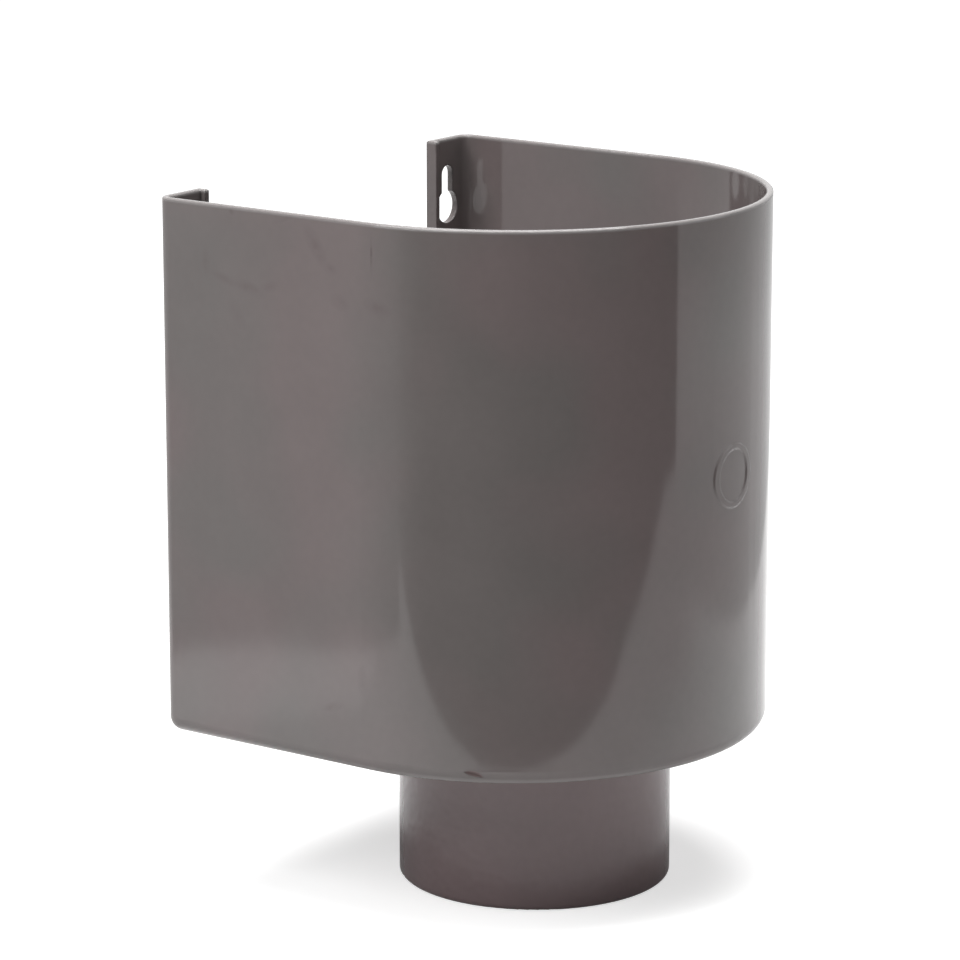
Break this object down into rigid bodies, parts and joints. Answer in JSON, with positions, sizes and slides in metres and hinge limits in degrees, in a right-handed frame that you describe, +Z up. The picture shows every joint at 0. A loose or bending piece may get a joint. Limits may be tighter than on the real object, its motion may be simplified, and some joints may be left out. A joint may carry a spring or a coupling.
{
  "type": "rainwater hopper",
  "caption": "D-shaped plastic wall hopper, open at the top and part open at the back, that gathers rainwater and drains it through a round spigot into a downpipe.",
  "frame": {"origin": "centre of the outlet spigot's lower end, on which the hopper stands", "axes": "+Z up along the outlet's axis, +Y back towards the wall that it hangs on, nose towards -Y, +X across"},
  "size_m": [0.185, 0.1839, 0.255],
  "materials": {
    "grey_plastic": "semi-gloss moulded"
  },
  "bodies": {
    "root": {"hopper_body": "grey_plastic"}
  },
  "joints": []
}
